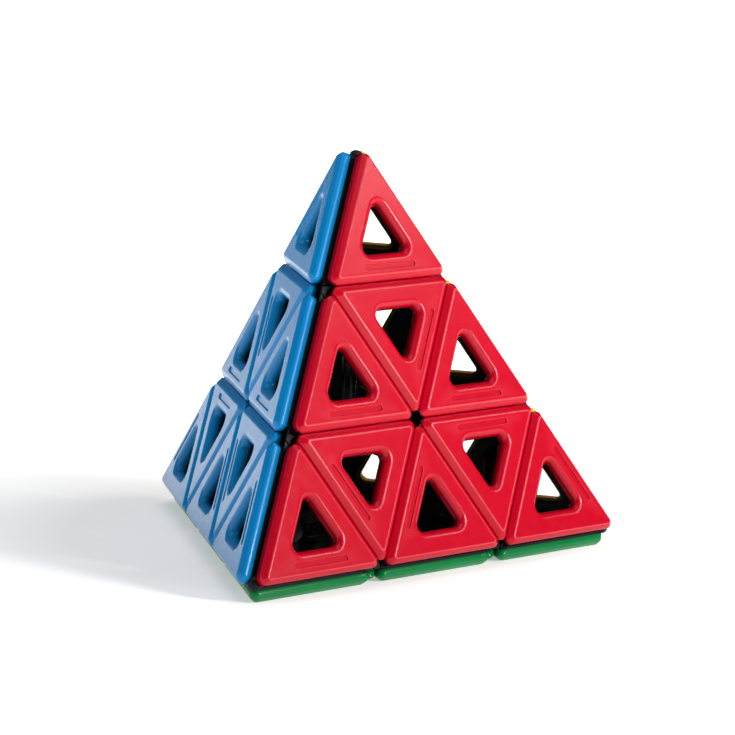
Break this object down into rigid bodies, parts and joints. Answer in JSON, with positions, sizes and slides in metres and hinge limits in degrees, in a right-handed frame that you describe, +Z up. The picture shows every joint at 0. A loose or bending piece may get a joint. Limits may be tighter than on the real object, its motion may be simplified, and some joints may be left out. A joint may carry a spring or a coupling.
{
  "type": "pyramid twisty puzzle",
  "caption": "Hollow four-sided pyramid puzzle of windowed triangular tiles; its tips twist on their own and each corner's layer turns about a central spindle.",
  "frame": {"origin": "middle of the footprint's box, in the plane the puzzle stands on", "axes": "+Z up towards the top tip, -Y towards the red face, +X to the right of the red face"},
  "size_m": [0.1006, 0.0875, 0.0831],
  "materials": {
    "red_cover": "semi-gloss moulded plastic with a fine grain",
    "blue_cover": "semi-gloss moulded plastic with a fine grain",
    "yellow_cover": "semi-gloss moulded plastic with a fine grain",
    "green_cover": "semi-gloss moulded plastic with a fine grain",
    "black_plastic": "satin moulded plastic",
    "steel": "turned and blackened"
  },
  "bodies": {
    "core": {"core_hub": "black_plastic", "spindles": "steel", "spindle_washers": "steel", "spindle_screws": "steel"},
    "top_tip": {"top_tip_frame": "black_plastic", "top_tip_red": "red_cover", "top_tip_blue": "blue_cover", "top_tip_yellow": "yellow_cover"},
    "top_centre": {"top_centre_frame": "black_plastic", "top_centre_red": "red_cover", "top_centre_blue": "blue_cover", "top_centre_yellow": "yellow_cover"},
    "left_tip": {"left_tip_frame": "black_plastic", "left_tip_red": "red_cover", "left_tip_blue": "blue_cover", "left_tip_green": "green_cover"},
    "left_centre": {"left_centre_frame": "black_plastic", "left_centre_red": "red_cover", "left_centre_blue": "blue_cover", "left_centre_green": "green_cover"},
    "right_tip": {"right_tip_frame": "black_plastic", "right_tip_red": "red_cover", "right_tip_yellow": "yellow_cover", "right_tip_green": "green_cover"},
    "right_centre": {"right_centre_frame": "black_plastic", "right_centre_red": "red_cover", "right_centre_yellow": "yellow_cover", "right_centre_green": "green_cover"},
    "back_tip": {"back_tip_frame": "black_plastic", "back_tip_blue": "blue_cover", "back_tip_yellow": "yellow_cover", "back_tip_green": "green_cover"},
    "back_centre": {"back_centre_frame": "black_plastic", "back_centre_blue": "blue_cover", "back_centre_yellow": "yellow_cover", "back_centre_green": "green_cover"},
    "top_left_edge": {"top_left_edge_frame": "black_plastic", "top_left_edge_hooks": "black_plastic", "top_left_edge_red": "red_cover", "top_left_edge_blue": "blue_cover"},
    "top_right_edge": {"top_right_edge_frame": "black_plastic", "top_right_edge_hooks": "black_plastic", "top_right_edge_red": "red_cover", "top_right_edge_yellow": "yellow_cover"},
    "top_back_edge": {"top_back_edge_frame": "black_plastic", "top_back_edge_hooks": "black_plastic", "top_back_edge_blue": "blue_cover", "top_back_edge_yellow": "yellow_cover"},
    "left_right_edge": {"left_right_edge_frame": "black_plastic", "left_right_edge_hooks": "black_plastic", "left_right_edge_red": "red_cover", "left_right_edge_green": "green_cover"},
    "left_back_edge": {"left_back_edge_frame": "black_plastic", "left_back_edge_hooks": "black_plastic", "left_back_edge_blue": "blue_cover", "left_back_edge_green": "green_cover"},
    "right_back_edge": {"right_back_edge_frame": "black_plastic", "right_back_edge_hooks": "black_plastic", "right_back_edge_yellow": "yellow_cover", "right_back_edge_green": "green_cover"}
  },
  "joints": [
    {"name": "turn_top", "type": "hinge", "parent": "core", "child": "top_centre", "pos_m": [0, -0.01275, 0.02331], "axis": [0, 0, 1], "range_deg": [-120, 240]},
    {"name": "turn_left", "type": "hinge", "parent": "core", "child": "left_centre", "pos_m": [0, -0.01275, 0.02331], "axis": [-0.8165, -0.4714, -0.3333], "range_deg": [-120, 240]},
    {"name": "turn_right", "type": "hinge", "parent": "core", "child": "right_centre", "pos_m": [0, -0.01275, 0.02331], "axis": [0.8165, -0.4714, -0.3333], "range_deg": [-120, 240]},
    {"name": "turn_back", "type": "hinge", "parent": "core", "child": "back_centre", "pos_m": [0, -0.01275, 0.02331], "axis": [0, 0.9428, -0.3333], "range_deg": [-120, 240]},
    {"name": "twist_top_tip", "type": "hinge", "parent": "top_centre", "child": "top_tip", "pos_m": [0, -0.01275, 0.02331], "axis": [0, 0, 1], "continuous": true},
    {"name": "twist_left_tip", "type": "hinge", "parent": "left_centre", "child": "left_tip", "pos_m": [0, -0.01275, 0.02331], "axis": [-0.8165, -0.4714, -0.3333], "continuous": true},
    {"name": "twist_right_tip", "type": "hinge", "parent": "right_centre", "child": "right_tip", "pos_m": [0, -0.01275, 0.02331], "axis": [0.8165, -0.4714, -0.3333], "continuous": true},
    {"name": "twist_back_tip", "type": "hinge", "parent": "back_centre", "child": "back_tip", "pos_m": [0, -0.01275, 0.02331], "axis": [0, 0.9428, -0.3333], "continuous": true},
    {"name": "top_left_edge_follows_left", "type": "hinge", "parent": "top_centre", "child": "top_left_edge", "pos_m": [0, -0.01275, 0.02331], "axis": [-0.8165, -0.4714, -0.3333], "range_deg": [-120, 240]},
    {"name": "top_right_edge_follows_top", "type": "hinge", "parent": "right_centre", "child": "top_right_edge", "pos_m": [0, -0.01275, 0.02331], "axis": [0, 0, 1], "range_deg": [-120, 240]},
    {"name": "top_back_edge_follows_top", "type": "hinge", "parent": "back_centre", "child": "top_back_edge", "pos_m": [0, -0.01275, 0.02331], "axis": [0, 0, 1], "range_deg": [-120, 240]},
    {"name": "left_right_edge_follows_right", "type": "hinge", "parent": "left_centre", "child": "left_right_edge", "pos_m": [0, -0.01275, 0.02331], "axis": [0.8165, -0.4714, -0.3333], "range_deg": [-120, 240]},
    {"name": "left_back_edge_follows_left", "type": "hinge", "parent": "back_centre", "child": "left_back_edge", "pos_m": [0, -0.01275, 0.02331], "axis": [-0.8165, -0.4714, -0.3333], "range_deg": [-120, 240]},
    {"name": "right_back_edge_follows_right", "type": "hinge", "parent": "back_centre", "child": "right_back_edge", "pos_m": [0, -0.01275, 0.02331], "axis": [0.8165, -0.4714, -0.3333], "range_deg": [-120, 240]}
  ],
  "couplings": [
    {"joint": "top_left_edge_follows_left", "follows": "turn_left", "ratio": 1},
    {"joint": "top_right_edge_follows_top", "follows": "turn_top", "ratio": 1},
    {"joint": "top_back_edge_follows_top", "follows": "turn_top", "ratio": 1},
    {"joint": "left_right_edge_follows_right", "follows": "turn_right", "ratio": 1},
    {"joint": "left_back_edge_follows_left", "follows": "turn_left", "ratio": 1},
    {"joint": "right_back_edge_follows_right", "follows": "turn_right", "ratio": 1}
  ]
}
